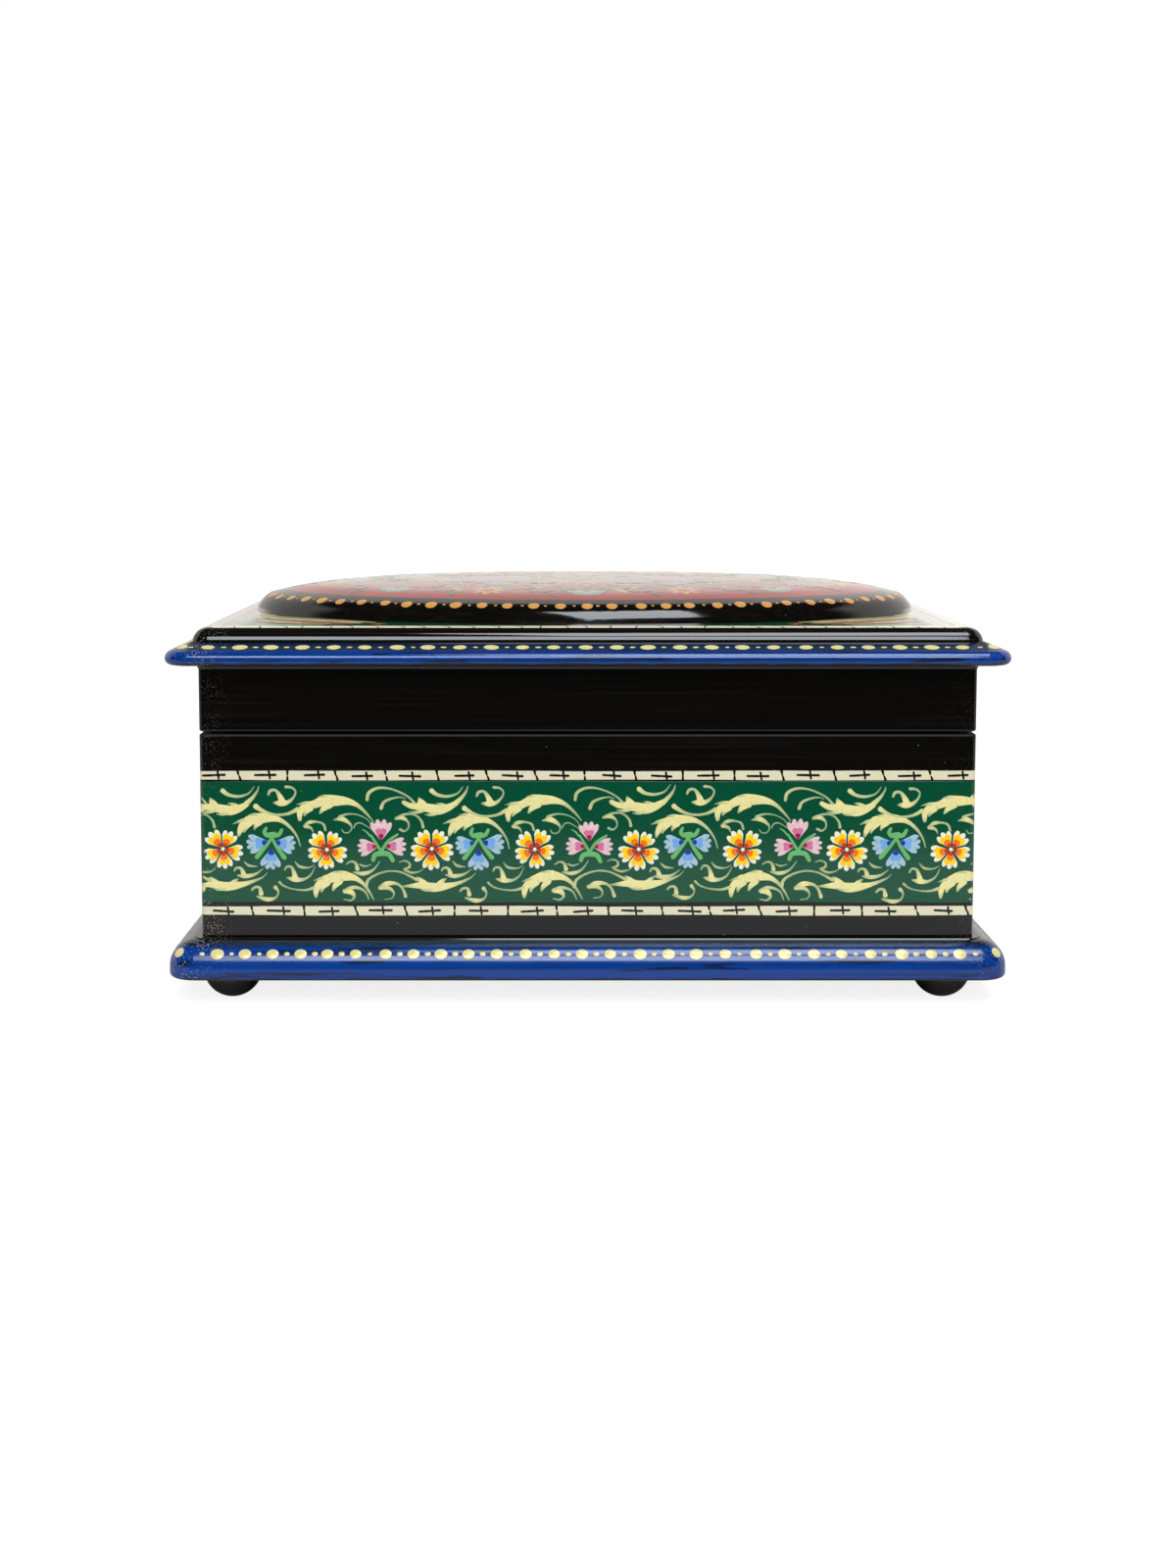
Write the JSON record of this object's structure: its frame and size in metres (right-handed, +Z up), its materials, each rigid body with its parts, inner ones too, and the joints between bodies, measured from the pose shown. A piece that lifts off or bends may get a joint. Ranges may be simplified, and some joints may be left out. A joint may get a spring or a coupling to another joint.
{
  "type": "lacquered papier mache keepsake box",
  "caption": "Low rectangular lacquered box with moulded base and lid boards, bun feet, a raised oval dome and a lid on two butt hinges.",
  "frame": {"origin": "on the table under the middle of the box", "axes": "+X along the box's length to its right end, +Y to the hinged back, +Z up"},
  "size_m": [0.2572, 0.1812, 0.1275],
  "materials": {
    "black_lacquer": "gloss black lacquer over papier mache",
    "blue_lacquer": "gloss blue lacquer over papier mache",
    "painted_green_lacquer": "hand painted green under clear gloss lacquer",
    "painted_red_lacquer": "hand painted red under clear gloss lacquer",
    "velvet": "short pile velvet over card",
    "brass": "brushed, slightly tarnished"
  },
  "bodies": {
    "box": {"base_board": "blue_lacquer", "body_front_wall": "painted_green_lacquer", "body_back_wall": "painted_green_lacquer", "body_left_wall": "painted_green_lacquer", "body_right_wall": "painted_green_lacquer", "floor_lining": "velvet", "front_wall_lining": "velvet", "back_wall_lining": "velvet", "left_wall_lining": "velvet", "right_wall_lining": "velvet", "front_left_foot": "black_lacquer", "front_right_foot": "black_lacquer", "back_left_foot": "black_lacquer", "back_right_foot": "black_lacquer", "left_hinge_body_leaf": "brass", "right_hinge_body_leaf": "brass", "left_hinge_pin": "brass", "right_hinge_pin": "brass", "body_leaf_screws": "brass"},
    "lid": {"lid_board": "blue_lacquer", "lid_dome": "painted_red_lacquer", "lid_front_rail": "black_lacquer", "lid_back_rail": "black_lacquer", "lid_left_rail": "black_lacquer", "lid_right_rail": "black_lacquer", "lid_lining": "velvet", "left_hinge_lid_leaf": "brass", "right_hinge_lid_leaf": "brass", "lid_leaf_screws": "brass"}
  },
  "joints": [
    {"name": "lid_hinge", "type": "hinge", "parent": "box", "child": "lid", "pos_m": [0, 0.0833, 0.0838], "axis": [-1, 0, 0], "range_deg": [0, 105]}
  ]
}
